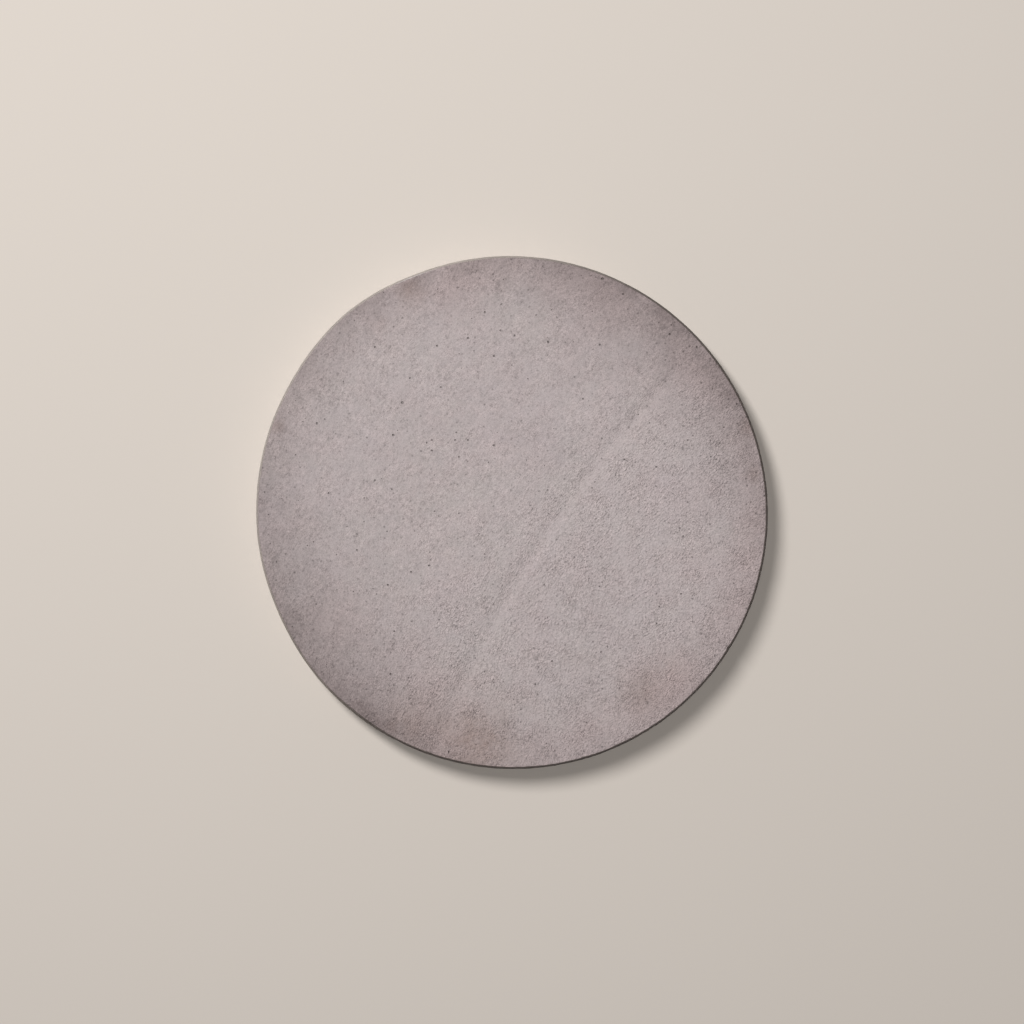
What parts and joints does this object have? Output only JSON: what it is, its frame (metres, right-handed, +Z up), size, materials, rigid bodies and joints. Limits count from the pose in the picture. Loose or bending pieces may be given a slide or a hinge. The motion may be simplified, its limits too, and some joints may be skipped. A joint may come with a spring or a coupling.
{
  "type": "garden stepping stone",
  "caption": "Round, slightly uneven cast concrete slab with a flat pitted tread, a leaning wall and small bevelled edges, laid as a garden step.",
  "frame": {"origin": "centre of the base, on the ground that the stone lies on", "axes": "+Z up out of the tread; +X and +Y lie in the base, with +Y towards the top of the reference view"},
  "size_m": [0.3992, 0.4002, 0.035],
  "materials": {
    "concrete": "matt cast concrete, mauve-grey, pitted, with soil stain round the rim and on the wall"
  },
  "bodies": {
    "root": {"stepping_stone": "concrete"}
  },
  "joints": []
}
